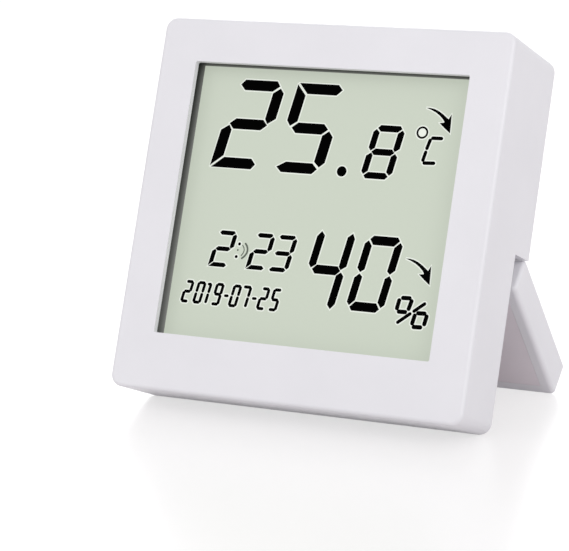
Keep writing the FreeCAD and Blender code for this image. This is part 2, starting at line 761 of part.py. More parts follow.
def make_main_board():
    """The circuit board, notched round the corner bosses and drilled for its screws."""
    body = new_body("main_board")
    outline = box_corners("-board_half", "board_half", "board_low", "board_top")
    pad(body, face_outline(body, "board_depth", outline), "board_thickness")
    for across, up in case_centres:
        edge_x = "board_half + 1" if across == "case_x" else "-board_half - 1"
        edge_z = "board_low - 1" if up == "case_low" else "board_top + 1"
        step_x = "case_x - case_notch" if across == "case_x" else "case_notch - case_x"
        step_z = "case_low + case_notch" if up == "case_low" else "case_high - case_notch"
        corner = box_corners(step_x, edge_x, edge_z, step_z)
        pocket(body, face_outline(body, "board_depth - 1", corner), "board_thickness + 2")
    pocket(body, face_circles(body, "board_depth - 1", board_centres, "board_screw_radius + hole_gap"),
           "board_thickness + 2")
    return body


def make_board_parts():
    """What the board carries: display chip, crystal, radio, climate sensor and capacitor."""
    chip = new_body("display_chip")
    dome = new_sketch(chip, "XZ_Plane", "-board_rear")
    add_circle(dome, "0", "chip_height", "chip_radius")
    pad(chip, dome, "chip_rise")
    top = value("board_rear") + value("chip_rise")
    bevel_edges(chip, "chip_bevel", lambda box: at_depth(box, top))

    crystal = new_body("clock_crystal")
    can = new_sketch(crystal, "YZ_Plane", "crystal_x")
    add_circle(can, "board_rear + crystal_radius", "chip_height", "crystal_radius")
    pad(crystal, can, "crystal_length", both_ways=True)

    capacitor = new_body("filter_capacitor")
    can = new_sketch(capacitor, "YZ_Plane", "capacitor_x")
    add_circle(can, "board_rear + capacitor_radius", "capacitor_height", "capacitor_radius")
    pad(capacitor, can, "capacitor_length", both_ways=True)
    end = value("capacitor_x") + value("capacitor_length") / 2
    bevel_edges(capacitor, "capacitor_bevel", lambda box: same(box.XMin, end) and same(box.XMax, end))

    plate("radio_board", "board_rear", "radio_thickness", "radio_x - radio_width / 2",
          "radio_x + radio_width / 2", "radio_low", "radio_low + radio_height")
    plate("radio_shield", "board_rear + radio_thickness", "shield_rise",
          "radio_x - radio_width / 2 + shield_margin", "radio_x + radio_width / 2 - shield_margin",
          "radio_low + shield_margin", "radio_low + radio_height - antenna_height")

    sensor = plate("climate_sensor", "board_rear", "sensor_rise", "vent_middle - sensor_width / 2",
                   "vent_middle + sensor_width / 2", "key_height - sensor_width / 2",
                   "key_height + sensor_width / 2")
    pocket(sensor, face_circles(sensor, "board_rear + sensor_rise / 2",
                                [("vent_middle", "key_height")], "sensor_port"), "sensor_rise")


def make_keys():
    """Three keys, each with the plunger that it presses, and the three switch housings."""
    for label, centre in zip(key_labels, key_centres):
        key = new_body(label + "_key")
        across, up = centre
        cap_start = "full_inner - key_flange_gap - 0.2"
        pad(key, face_circles(key, cap_start, [centre], "key_radius"),
            "full_depth - key_sink - (%s)" % cap_start)
        flange_start = "full_inner - key_flange_gap - key_flange_height"
        pad(key, face_circles(key, flange_start, [centre], "key_flange_radius"), "key_flange_height")
        pad(key, face_circles(key, "switch_top", [centre], "key_stem_radius"),
            flange_start + " - switch_top + 0.2")
        top = value("full_depth") - value("key_sink")
        bevel_edges(key, "key_bevel", lambda box: at_depth(box, top))
        plunger = new_body(label + "_plunger")
        start = "board_rear + switch_body - plunger_depth"
        pad(plunger, face_circles(plunger, start, [centre], "plunger_radius"), "switch_top - (%s)" % start)

    switches = new_body("key_switches")
    squares = [box_corners(across + " - switch_width / 2", across + " + switch_width / 2",
                           up + " - switch_width / 2", up + " + switch_width / 2")
               for across, up in key_centres]
    pad(switches, face_outline(switches, "board_rear", *squares), "switch_body")
    well = "plunger_depth + key_travel + plunger_gap"
    pocket(switches, face_circles(switches, "board_rear + switch_body - (%s)" % well, key_centres,
                                  "plunger_radius + plunger_gap"), well + " + 1")


def make_cells():
    """Two AAA cells, each a can with its raised contact at one end."""
    for label, up, side in (("upper_cell", "cell_upper", 1), ("lower_cell", "cell_lower", -1)):
        body = new_body(label)
        middle = "%d * (dimple_tip - nub_length - (cell_length - nub_length) / 2)" % side
        can = new_sketch(body, "YZ_Plane", middle)
        add_circle(can, "cell_axis", up, "cell_radius")
        pad(body, can, "cell_length - nub_length", both_ways=True)
        rim = value("cell_radius") * 2
        bevel_edges(body, "cell_bevel", lambda box: same(box.XMin, box.XMax) and box.ZLength > rim * 0.99)
        nub = new_sketch(body, "YZ_Plane", "%d * (dimple_tip - nub_length)" % side)
        add_circle(nub, "cell_axis", up, "nub_radius")
        pad(body, nub, "2 * nub_length", both_ways=True)


def make_contact(label, side, leaf_at=None, dimple_at=None):
    """A steel contact on an end wall of the bay, with a leg to the board for each cell."""
    body = new_body(label)
    cells = [up for up in (leaf_at, dimple_at) if up]
    low = "cell_lower" if "cell_lower" in cells else "cell_upper"
    high = "cell_upper" if "cell_upper" in cells else "cell_lower"
    ends = ("plate_inner", "plate_outer") if side > 0 else ("-plate_outer", "-plate_inner")
    main = box_corners(*ends, low + " - contact_width / 2", high + " + contact_width / 2")
    pad(body, face_outline(body, "contact_foot", main), "contact_height")
    legs = [box_corners(*ends, up + " - leg_width / 2", up + " + leg_width / 2") for up in cells]
    pad(body, face_outline(body, "board_rear", *legs), "contact_foot - board_rear + 0.2")
    if dimple_at:
        dimple = new_sketch(body, "YZ_Plane", "%d * plate_inner" % side)
        add_circle(dimple, "cell_axis", dimple_at, "dimple_radius")
        pad(body, dimple, "2 * dimple_height", both_ways=True)
        trim = side_outline(body, "%d * (plate_outer + 1)" % side,
                            box_corners("cell_axis - dimple_radius - 0.1", "cell_axis + dimple_radius + 0.1",
                                        dimple_at + " - dimple_radius - 0.1",
                                        dimple_at + " + dimple_radius + 0.1"))
        pocket(body, trim, "2", both_ways=True)
    if leaf_at:
        leaf = new_sketch(body, "XY_Plane", leaf_at + " - leaf_width / 2")
        bent = [("plate_inner + 0.1", "cell_axis - leaf_reach"),
                ("cell_tail + contact_seat", "cell_axis"),
                ("plate_inner - leaf_return", "cell_axis + leaf_reach"),
                ("plate_inner - leaf_return + leaf_thickness", "cell_axis + leaf_reach"),
                ("cell_tail + contact_seat + leaf_thickness", "cell_axis"),
                ("plate_inner + 0.1", "cell_axis - leaf_reach + leaf_thickness * 1.2")]
        add_outline(leaf, [("%d * (%s)" % (side, across), deep) for across, deep in bent])
        pad(body, leaf, "leaf_width")


def make_screws(label, groups, head_radius, head_height, screw_radius, length):
    """A group of equal screws: each has its head against a seat and its shank towards the face."""
    body = new_body(label)
    for centres, seat_depth in groups:
        for centre in centres:
            pad(body, face_circles(body, seat_depth, [centre], head_radius), head_height)
            pad(body, face_circles(body, "%s - %s" % (seat_depth, length), [centre], screw_radius),
                length + " + 0.2")


def make_stand_shell():
    """The outer half of the stand: a tray with side walls, ribs and the hinge knuckle."""
    body = new_body("stand_shell", stand_place)
    block = box_corners("stand_inner", "full_depth", "stand_low", "stand_top")
    pad(body, side_outline(body, "0", block), "2 * stand_half", both_ways=True)
    inner = value("stand_inner")
    outer = value("full_depth")
    low = value("stand_low")
    top = value("stand_top")
    half = value("stand_half")
    round_edges(body, "knuckle_radius - 0.001", lambda box: (
        at_depth(box, outer) and same(box.ZMin, top) and same(box.ZMax, top)))
    round_edges(body, "stand_edge_round", lambda box: (
        at_depth(box, inner) and same(abs(box.XMin), half) and box.ZLength > 10))
    round_edges(body, "stand_top_round", lambda box: (
        at_depth(box, inner) and same(box.ZMin, top) and same(box.ZMax, top)))
    round_edges(body, "foot_round", lambda box: (
        at_depth(box, inner) and same(box.ZMin, low) and same(box.ZMax, low)))

    # The tray is open to the inside, with a ledge all round for its cover
    seat = box_corners("-tray_half", "tray_half", "tray_low", "tray_top")
    pocket(body, face_outline(body, "stand_inner - 1", seat), "stand_cover_thickness + 1")
    well = box_corners("-well_half", "well_half", "well_low", "well_top")
    pocket(body, face_outline(body, "stand_inner - 1", well), "full_depth - stand_skin - stand_inner + 1")
    ribs = [box_corners(middle + " - stand_rib / 2", middle + " + stand_rib / 2",
                        "well_low - 0.2", "well_top + 0.2")
            for middle in ("-stand_rib_pitch", "0", "stand_rib_pitch")]
    pad(body, face_outline(body, "stand_cover_rear + stand_cover_gap / 2", *ribs),
        "full_depth - stand_skin - stand_cover_rear")

    # Slots for the lugs, whose lower lip is the stop, and the bore for the pins
    for side in ("-", ""):
        offset = side + "lug_offset"
        slot = box_corners("pivot_y - lug_radius - lug_swing_gap", "full_depth + 1",
                           "pivot_z - lip_drop", "stand_top + 1")
        pocket(body, side_outline(body, offset, slot), "lug_width + 2 * lug_side_gap", both_ways=True)
        swing = new_sketch(body, "YZ_Plane", offset)
        add_circle(swing, "pivot_y", "pivot_z", "lug_radius + lug_swing_gap")
        pocket(body, swing, "lug_width + 2 * lug_side_gap", both_ways=True)
        bore = new_sketch(body, "YZ_Plane", side + "bore_middle")
        add_circle(bore, "pivot_y", "pivot_z", "pin_radius + pin_press")
        pocket(body, bore, "bore_length", both_ways=True)
    access = box_corners("pivot_y - lug_radius - lug_swing_gap", "full_depth + 1",
                         "pivot_z - lip_drop", "stand_top + 1")
    pocket(body, side_outline(body, "0", access), "2 * access_half", both_ways=True)


def make_stand_cover():
    """The flat inner half of the stand."""
    body = new_body("stand_cover", stand_place)
    panel = box_corners("-tray_half + stand_cover_gap", "tray_half - stand_cover_gap",
                        "tray_low + stand_cover_gap", "tray_top - stand_cover_gap")
    pad(body, face_outline(body, "stand_inner", panel), "stand_cover_thickness")


def make_hinge_pins():
    """Two steel pins, fixed in the stand and free to turn in the lugs."""
    body = new_body("hinge_pins", stand_place)
    for side in ("-", ""):
        pin = new_sketch(body, "YZ_Plane", side + "lug_offset")
        add_circle(pin, "pivot_y", "pivot_z", "pin_radius")
        pad(body, pin, "2 * pin_reach", both_ways=True)


make_front_housing()
make_back_cover()
make_battery_door()
make_display()
make_display_gasket()
make_display_carrier()
make_main_board()
make_board_parts()
make_keys()
make_cells()
make_contact("bridge_contact", 1, leaf_at="cell_lower", dimple_at="cell_upper")
make_contact("negative_contact", -1, leaf_at="cell_upper")
make_contact("positive_contact", -1, dimple_at="cell_lower")
make_screws("case_screws", [(low_case_centres, "low_seat"), (high_case_centres, "full_seat")],
            "case_head_radius", "case_head_height", "case_screw_radius", "case_screw_length")
make_screws("board_screws", [(board_centres, "board_rear")],
            "board_head_radius", "board_head_height", "board_screw_radius", "board_screw_length")
make_stand_shell()
make_stand_cover()
make_hinge_pins()

doc.recompute()
broken = [item.Name for item in doc.Objects if "Invalid" in item.State or "Error" in item.State]
for piece in pieces:
    if piece.Shape.isNull() or not piece.Shape.isValid():
        broken.append(piece.Label)
if broken:
    raise RuntimeError("pieces not built: " + ", ".join(broken))
os.makedirs("parts", exist_ok=True)
for piece in pieces:
    piece.Shape.exportStep("parts/%s.step" % piece.Label)
    print(piece.Label, len(piece.Shape.Solids), round(piece.Shape.Volume, 2))
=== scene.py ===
import math

import bpy
from mathutils import Matrix, Vector
from mathutils.geometry import tessellate_polygon


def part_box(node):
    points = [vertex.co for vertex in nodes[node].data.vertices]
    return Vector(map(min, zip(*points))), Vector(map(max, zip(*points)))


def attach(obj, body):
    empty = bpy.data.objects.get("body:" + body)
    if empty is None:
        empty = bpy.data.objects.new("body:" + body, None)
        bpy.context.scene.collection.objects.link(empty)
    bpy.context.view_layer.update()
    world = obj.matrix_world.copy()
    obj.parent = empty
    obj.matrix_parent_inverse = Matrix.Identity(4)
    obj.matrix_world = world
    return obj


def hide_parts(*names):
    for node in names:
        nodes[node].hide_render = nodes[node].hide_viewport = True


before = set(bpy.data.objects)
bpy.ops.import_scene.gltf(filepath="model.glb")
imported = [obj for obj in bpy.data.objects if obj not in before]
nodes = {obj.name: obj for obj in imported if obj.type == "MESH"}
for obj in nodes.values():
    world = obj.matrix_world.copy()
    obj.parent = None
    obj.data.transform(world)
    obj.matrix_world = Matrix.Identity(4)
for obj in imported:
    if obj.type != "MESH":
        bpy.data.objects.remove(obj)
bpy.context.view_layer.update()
millimetre = 0.001
print("frame loaded:", len(nodes), "nodes")

# The housing leans back on its rear bottom edge; lengths in millimetres, angle in degrees
housing = {
    "lean": 20.2,
    "edgeDepth": 17.0,  # depth of the edge that it leans about
    "behind": -13.9859,
    "lift": -0.1135,
}


def onHousing(across, depth, up):
    # A place on the upright housing, moved to where the leaning one has it
    turn = math.radians(housing["lean"])
    back = depth - housing["edgeDepth"]
    return millimetre * Vector((
        across,
        back * math.cos(turn) + up * math.sin(turn) + housing["behind"],
        up * math.cos(turn) - back * math.sin(turn) + housing["lift"]))


def linearColour(hexText):
    # sRGB hex to the linear values that shaders read
    channels = [int(hexText[i:i + 2], 16) / 255 for i in (1, 3, 5)]
    straight = [c / 12.92 if c <= 0.04045 else ((c + 0.055) / 1.055) ** 2.4 for c in channels]
    return (*straight, 1.0)


def addNode(tree, kind, links=None, **settings):
    # One node with its settings; a link is another node's output or a plain value
    node = tree.nodes.new(kind)
    for name, setting in settings.items():
        setattr(node, name, setting)
    for socket, source in (links or {}).items():
        if isinstance(source, bpy.types.NodeSocket):
            tree.links.new(source, node.inputs[socket])
        else:
            node.inputs[socket].default_value = source
    return node


def newFinish(name, colour, roughness, **sockets):
    # A material with its shader's uniform values set; patterns are linked afterwards
    material = bpy.data.materials.new(name)
    material.use_nodes = True
    tree = material.node_tree
    tree.nodes.clear()
    shader = addNode(tree, "ShaderNodeBsdfPrincipled", {
        "Base Color": linearColour(colour), "Roughness": roughness})
    for socket, value in sockets.items():
        shader.inputs[socket.replace("_", " ")].default_value = value
    addNode(tree, "ShaderNodeOutputMaterial", {"Surface": shader.outputs[0]})
    return material, tree, shader


def grainBump(tree, shader, look):
    # A fine surface grain: size and height in millimetres, drawn out along an axis by its stretch
    place = addNode(tree, "ShaderNodeTexCoord")
    fitted = addNode(tree, "ShaderNodeMapping", {
        "Vector": place.outputs["Object"], "Scale": look.get("stretch", (1, 1, 1))})
    grain = addNode(tree, "ShaderNodeTexNoise", {
        "Vector": fitted.outputs[0], "Scale": 1 / (look["grain"] * millimetre)})
    bump = addNode(tree, "ShaderNodeBump", {
        "Height": grain.outputs["Fac"], "Distance": look["grainHeight"] * millimetre, "Strength": 1.0})
    tree.links.new(bump.outputs[0], shader.inputs["Normal"])


# Where in the noise the pale colour ends and the deep one starts
cloudLook = {"detail": 3.0, "low": 0.35, "high": 0.65}


def clouded(tree, shader, look):
    # Two near colours mixed in soft clouds; their size, the mottle, is in millimetres
    place = addNode(tree, "ShaderNodeTexCoord")
    cloud = addNode(tree, "ShaderNodeTexNoise", {
        "Vector": place.outputs["Object"], "Scale": 1 / (look["mottle"] * millimetre),
        "Detail": cloudLook["detail"]})
    ramp = addNode(tree, "ShaderNodeValToRGB", {"Fac": cloud.outputs["Fac"]})
    for point, edge, shade in zip(ramp.color_ramp.elements, ("low", "high"), ("pale", "deep")):
        point.position = cloudLook[edge]
        point.color = linearColour(look[shade])
    tree.links.new(ramp.outputs["Color"], shader.inputs["Base Color"])


def plainFinish(name, look, **sockets):
    # A material from its dictionary: one colour or a pale and a deep one, roughness and grain
    colour = look["pale"] if "mottle" in look else look["colour"]
    material, tree, shader = newFinish(name, colour, look["roughness"], **sockets)
    if "mottle" in look:
        clouded(tree, shader, look)
    grainBump(tree, shader, look)
    return material


# White ABS, moulded in a finely blasted cavity: soft even sheen, faint grain, hardly any mottle
shellLook = {"pale": "#e9e8ed", "deep": "#e6e5ea", "mottle": 22, "roughness": 0.42,
             "grain": 0.3, "grainHeight": 0.004}
satinAbs = plainFinish("satinWhiteAbs", shellLook)

# The stand's cover faces into the shade behind the housing: the same finish, a trace warmer, a painted
# pinkish tint of that shade
shadeTintLook = {**shellLook, "pale": "#e9e1e7", "deep": "#e6dee4"}
shadeTintAbs = plainFinish("satinShadeTintAbs", shadeTintLook)

# The same ABS polished a little more on the keys, where fingers press
keyLook = {"pale": "#dedee2", "deep": "#dadade", "mottle": 6, "roughness": 0.34,
           "grain": 0.35, "grainHeight": 0.003}
keyAbs = plainFinish("satinAbsKey", keyLook)

# Dark ABS frame inside, straight from the mould: duller, with a coarser grain
frameLook = {"colour": "#4b4b50", "roughness": 0.55, "grain": 0.4, "grainHeight": 0.01}
frameAbs = plainFinish("greyAbsFrame", frameLook)

# Polariser film over the liquid crystal: grey-green ground, anti-glare coat that scatters highlights
# A share of the film's colour is a painted glow: it is emitted, so the recess doesn't shade it
filmLook = {"ground": "#ccd4c5", "border": "#edf2e9", "veil": "#5e655b", "ink": "#020202",
            "paintedGlow": 0.7, "sheen": 0.2, "inkSheen": 0.005, "roughness": 0.35,
            "grain": 0.25, "grainHeight": 0.002}


def filmFinish(name, colour, sheen="sheen"):
    material, tree, shader = newFinish(name, colour, filmLook["roughness"],
                                       Specular_IOR_Level=filmLook[sheen])
    film = linearColour(colour)
    # Painted glow: the base colour keeps only part of the film's colour and the rest is emitted, so it
    # shows lit where shade falls
    shader.inputs["Base Color"].default_value = (*(c * (1 - filmLook["paintedGlow"]) for c in film[:3]), 1.0)
    shader.inputs["Emission Color"].default_value = film
    shader.inputs["Emission Strength"].default_value = filmLook["paintedGlow"]
    grainBump(tree, shader, filmLook)
    return material


polariser = filmFinish("antiglarePolariser", filmLook["ground"])
haloInk = filmFinish("clearCrystalBorder", filmLook["border"])  # the film shows brighter round a segment
veilInk = filmFinish("veiledCrystal", filmLook["veil"])  # half-lit signs are a grey veil
segmentInk = filmFinish("darkenedCrystal", filmLook["ink"], "inkSheen")  # a lit segment stops the light

# Soda lime glass of the cell: almost mirror smooth, faintly green
glassLook = {"colour": "#dfe8e1", "roughness": 0.06, "grain": 2.0, "grainHeight": 0.001}
cellGlass = plainFinish("sodaLimeGlass", glassLook, IOR=1.52, Transmission_Weight=0.6)

# Silvered film behind the cell: bright with a soft lengthwise drag
silverLook = {"colour": "#c9ccc6", "roughness": 0.32, "grain": 0.2, "grainHeight": 0.004,
              "stretch": (0.2, 1, 1)}
silvered = plainFinish("silveredFilm", silverLook, Metallic=0.85)

# Skinned closed-cell foam: fine pores and a little shine. Its colour is painted shade and light: black at
# the front and at the top, painted greyer toward the film and the foot where more light falls; the depths
# and heights are in millimetres, on the housing
gasketLook = {"black": "#060607", "grey": "#949494", "frontDepth": 1.6, "filmDepth": 4.6,
              "topHeight": 72.0, "footHeight": 10.0, "filmShare": 0.68, "footShare": 0.32,
              "curve": 1.7, "roughness": 0.5, "sheen": 0.12, "grain": 0.35, "grainHeight": 0.03}
foam, tree, shader = newFinish("blackGasketFoam", gasketLook["black"], gasketLook["roughness"],
                               Specular_IOR_Level=gasketLook["sheen"])
foamPlace = addNode(tree, "ShaderNodeTexCoord")
lean = math.radians(housing["lean"])
unturned = addNode(tree, "ShaderNodeMapping", {
    "Vector": foamPlace.outputs["Object"], "Rotation": (lean, 0, 0), "Location": millimetre * Vector((
        0, housing["edgeDepth"] - housing["behind"] * math.cos(lean) + housing["lift"] * math.sin(lean),
        -housing["behind"] * math.sin(lean) - housing["lift"] * math.cos(lean)))})
split = addNode(tree, "ShaderNodeSeparateXYZ", {"Vector": unturned.outputs[0]})
sunk = addNode(tree, "ShaderNodeMapRange", {
    "Value": split.outputs["Y"], "From Min": gasketLook["frontDepth"] * millimetre,
    "From Max": gasketLook["filmDepth"] * millimetre})
bent = addNode(tree, "ShaderNodeMath", {
    0: sunk.outputs["Result"], 1: gasketLook["curve"]}, operation="POWER")
fallen = addNode(tree, "ShaderNodeMapRange", {
    "Value": split.outputs["Z"], "From Min": gasketLook["topHeight"] * millimetre,
    "From Max": gasketLook["footHeight"] * millimetre, "To Max": gasketLook["footShare"]})
# Painted light: the share of grey grows toward the film and toward the foot
paintedLightShare = addNode(tree, "ShaderNodeMath", {
    0: bent.outputs[0], 1: gasketLook["filmShare"],
    2: fallen.outputs["Result"]}, operation="MULTIPLY_ADD")
paintedShadeRamp = addNode(tree, "ShaderNodeValToRGB", {"Fac": paintedLightShare.outputs[0]})
paintedShadeRamp.color_ramp.elements[0].color = linearColour(gasketLook["black"])
paintedShadeRamp.color_ramp.elements[1].color = linearColour(gasketLook["grey"])
tree.links.new(paintedShadeRamp.outputs["Color"], shader.inputs["Base Color"])
grainBump(tree, shader, gasketLook)

# Glass-fibre board: green solder mask over the weave, with copper tracks showing as paler lines
boardLook = {"mask": "#1f6b3c", "patch": "#217040", "track": "#2f8450", "run": 9.6, "trackShare": 0.03,
             "roughness": 0.4, "grain": 0.5, "grainHeight": 0.006}
board, tree, shader = newFinish("solderMaskBoard", boardLook["mask"], boardLook["roughness"])
boardPlace = addNode(tree, "ShaderNodeTexCoord")
tracks = addNode(tree, "ShaderNodeTexBrick", {
    "Vector": boardPlace.outputs["Object"], "Scale": 1 / (boardLook["run"] * millimetre),
    "Color1": linearColour(boardLook["mask"]), "Color2": linearColour(boardLook["patch"]),
    "Mortar": linearColour(boardLook["track"]), "Mortar Size": boardLook["trackShare"]})
tree.links.new(tracks.outputs["Color"], shader.inputs["Base Color"])
grainBump(tree, shader, boardLook)

# Epoxy drop over the bare chip: black, glossy, slightly wavy as it cured
epoxyLook = {"colour": "#0e0e10", "roughness": 0.14, "grain": 2.5, "grainHeight": 0.03}
epoxy = plainFinish("blackEpoxyDrop", epoxyLook)

# Tin plate on the crystal's can and the radio's lid: bright, rolled one way
tinLook = {"colour": "#c8cbcf", "roughness": 0.25, "grain": 0.15, "grainHeight": 0.004,
           "stretch": (0.08, 1, 1)}
tinPlate = plainFinish("rolledTinPlate", tinLook, Metallic=1.0)

# Heat-shrunk vinyl sleeve of the capacitor: dark blue, half gloss, with soft waves
sleeveLook = {"colour": "#1b2038", "roughness": 0.3, "grain": 1.2, "grainHeight": 0.01}
sleeve = plainFinish("shrunkVinylSleeve", sleeveLook)

# Liquid crystal polymer lid of the climate sensor: pale and dull
lidLook = {"colour": "#dfe1e4", "roughness": 0.5, "grain": 0.3, "grainHeight": 0.004}
sensorLid = plainFinish("sensorPolymer", lidLook)

# Acetal plunger, waxy and pale, and nylon body, black and dull, of the tact switches
acetalLook = {"colour": "#b9b9b4", "roughness": 0.4, "grain": 0.4, "grainHeight": 0.004}
acetal = plainFinish("acetalPlunger", acetalLook)
nylonLook = {"colour": "#1a1a1d", "roughness": 0.5, "grain": 0.3, "grainHeight": 0.006}
nylon = plainFinish("nylonSwitchBody", nylonLook)

# Nickel-plated spring steel: satin from the roll, a trace warm
nickelLook = {"colour": "#c4c2bb", "roughness": 0.28, "grain": 0.12, "grainHeight": 0.004,
              "stretch": (1, 0.1, 1)}
nickel = plainFinish("nickelSpringSteel", nickelLook, Metallic=1.0)

# Zinc-plated steel: cold-headed, slightly blue, tumbled soft
zincLook = {"pale": "#bcc0c5", "deep": "#aeb3ba", "mottle": 1.5, "roughness": 0.33,
            "grain": 0.2, "grainHeight": 0.006}
zinc = plainFinish("zincPlatedSteel", zincLook, Metallic=1.0)


def jacketFinish(name, node, side):
    # Printed jacket over a steel can: bare rims at both ends, a copper-coloured band at the positive one
    look = {"jacket": "#31506b", "band": "#b98a4a", "bare": "#c9cbcd", "rim": 0.7, "bandFrom": 33.0,
            "length": 43.7, "rampSpan": 50.0, "printMetallic": 0.25, "roughness": 0.3,
            "grain": 0.8, "grainHeight": 0.004}
    low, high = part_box(node)
    material, tree, shader = newFinish(name, look["jacket"], look["roughness"])
    place = addNode(tree, "ShaderNodeTexCoord")
    split = addNode(tree, "ShaderNodeSeparateXYZ", {"Vector": place.outputs["Object"]})
    flat = low.x if side > 0 else high.x
    run = addNode(tree, "ShaderNodeMath", {0: split.outputs["X"], 1: -flat}, operation="ADD")
    along = addNode(tree, "ShaderNodeMath", {
        0: run.outputs[0], 1: side / millimetre}, operation="MULTIPLY")
    reach = addNode(tree, "ShaderNodeMath", {
        0: along.outputs[0], 1: look["rampSpan"]}, operation="DIVIDE")
    farRim = look["length"] - look["rim"]
    bare, jacket, band = (linearColour(look[key]) for key in ("bare", "jacket", "band"))
    steel = (1, 1, 1, 1)
    printed = (look["printMetallic"],) * 3 + (1,)
    zones = {
        "Base Color": [(0.0, bare), (look["rim"], jacket), (look["bandFrom"], band), (farRim, bare)],
        "Metallic": [(0.0, steel), (look["rim"], printed), (farRim, steel)]}
    for socket, stops in zones.items():
        ramp = addNode(tree, "ShaderNodeValToRGB", {"Fac": reach.outputs[0]})
        ramp.color_ramp.interpolation = "CONSTANT"
        points = ramp.color_ramp.elements
        points.remove(points[1])
        points[0].color = stops[0][1]
        for start, shade in stops[1:]:
            points.new(start / look["rampSpan"]).color = shade
        tree.links.new(ramp.outputs["Color"], shader.inputs[socket])
    grainBump(tree, shader, look)
    return material


finishes = {
    "front_housing": satinAbs, "back_cover": satinAbs, "battery_door": satinAbs,
    "stand_shell": satinAbs, "stand_cover": shadeTintAbs,
    "front_polariser": polariser, "front_glass": cellGlass, "rear_glass": cellGlass,
    "reflector_film": silvered, "zebra_strip": foam, "display_gasket": foam,
    "display_carrier": frameAbs, "main_board": board, "radio_board": board,
    "display_chip": epoxy, "clock_crystal": tinPlate, "radio_shield": tinPlate,
    "filter_capacitor": sleeve, "climate_sensor": sensorLid,
    "set_key": keyAbs, "down_key": keyAbs, "up_key": keyAbs,
    "set_plunger": acetal, "down_plunger": acetal, "up_plunger": acetal,
    "key_switches": nylon, "upper_cell": jacketFinish("upperCellJacket", "upper_cell", 1),
    "lower_cell": jacketFinish("lowerCellJacket", "lower_cell", -1),
    "bridge_contact": nickel, "negative_contact": nickel, "positive_contact": nickel,
    "case_screws": zinc, "board_screws": zinc, "hinge_pins": zinc,
}
for label, material in finishes.items():
    nodes[label].data.materials.clear()
    nodes[label].data.materials.append(material)
print("finishes:", len(finishes))

# Segments of the display. Each digit: left and foot of its box, size, stroke widths and lit segments
display = {
    "front": 4.6,  # depth of the film's front face
    "rise": 0.03,
    "haloRise": 0.016,
    "stagger": 0.0004,  # each plate stands this much before the last, so no two fronts coincide
    "staggers": 9,
    "halo": 0.25,
    "gap": 0.14,  # between strokes, as a share of their width
    "tips": {"b": 0.66, "f": 0.42, "e": 0.66, "c": 0.48},  # where side strokes end in a point
    "sameSpot": 0.004,
}
# How the strokes' ends are cut: shares of the stroke's width first, then shares of the gap
endCuts = {
    "across": 0.9, "up": 1.02,  # a corner, along its bar and up its side stroke
    "freeOuter": 0.65, "freeTip": 0.45, "freeInner": 0.52,  # a side stroke with no bar at its end
    "splitOuter": 0.6, "splitInner": 0.55, "splitTip": 0.12,  # a side stroke at a lit middle bar
    "openInner": 0.45, "openTip": 0.52,  # a side stroke where the middle bar is off
    "middleTip": 0.62, "middleShoulder": 1.12,  # the middle bar
    "sharpInner": 0.8, "sharpOuter": 0.9,  # a pointed corner; from here on they are shares of the gap
    "barInner": 0.7, "barTip": 0.5, "sideTip": 0.3, "sideUp": 0.7, "openGap": 0.5,
}
digits = {
    "tensDigit": {"left": -26.7, "foot": 48.92, "wide": 12.0, "tall": 19.25, "stroke": 2.5, "bar": 2.3,
                  "slant": 0.172, "lit": "abged", "sharp": ["footLeft"],
                  "tips": {"topLeft": 1.42, "footRight": 1.5}},
    "onesDigit": {"left": -12.05, "foot": 48.85, "wide": 11.6, "tall": 19.25, "stroke": 2.5, "bar": 2.3,
                  "slant": 0.172, "lit": "afgcd", "sharp": ["topLeft"],
                  "tips": {"topRight": 1.04, "footLeft": 0.85}, "inner": {"topRight": 2.1}},
    "tenthsDigit": {"left": 8.25, "foot": 48.82, "wide": 7.0, "tall": 11.38, "stroke": 1.45, "bar": 1.4,
                    "slant": 0.172, "lit": "abcdefg", "sharp": []},
    "humidityTens": {"left": -1.78, "foot": 21.1, "wide": 8.6, "tall": 16.05, "stroke": 1.72, "bar": 1.92,
                     "slant": 0.172, "lit": "fgbc", "sharp": []},
    "humidityOnes": {"left": 9.28, "foot": 21.27, "wide": 8.45, "tall": 15.83, "stroke": 1.72,
                     "bar": 1.95, "slant": 0.172, "lit": "abcdef", "sharp": []},
    "hourDigit": {"left": -23.52, "foot": 27.68, "wide": 4.8, "tall": 7.85, "stroke": 1.02, "bar": 0.96,
                  "slant": 0.167, "lit": "abged", "sharp": ["footLeft"]},
    "minuteTens": {"left": -14.65, "foot": 27.78, "wide": 4.75, "tall": 7.85, "stroke": 1.02, "bar": 0.96,
                   "slant": 0.167, "lit": "abged", "sharp": ["footLeft"]},
    "minuteOnes": {"left": -9.68, "foot": 27.78, "wide": 4.85, "tall": 7.85, "stroke": 1.02, "bar": 0.96,
                   "slant": 0.188, "lit": "abgcd", "sharp": []},
}
# The date. Each place: left edge, width and lit segments, where a lone middle bar is a hyphen
dateLine = {"foot": 19.45, "tall": 4.9, "stroke": 0.68, "slant": 0.17, "corner": 0.42, "waist": 0.54,
            "hyphenStroke": 0.62, "hyphenStart": 0.3, "hyphenEnd": 0.7, "hyphenDrop": 0.15,
            "places": [(-28.8, 2.1, "abged"), (-25.92, 2.1, "abcdef"), (-24.5, 2.1, "bc"),
                       (-21.58, 2.1, "abcdfg"), (-18.98, 1.5, "g"), (-17.47, 2.1, "abcdef"),
                       (-15.3, 2.3, "abc"), (-12.4, 1.5, "g"), (-10.85, 2.1, "abged"),
                       (-8.1, 2.1, "afgcd")]}


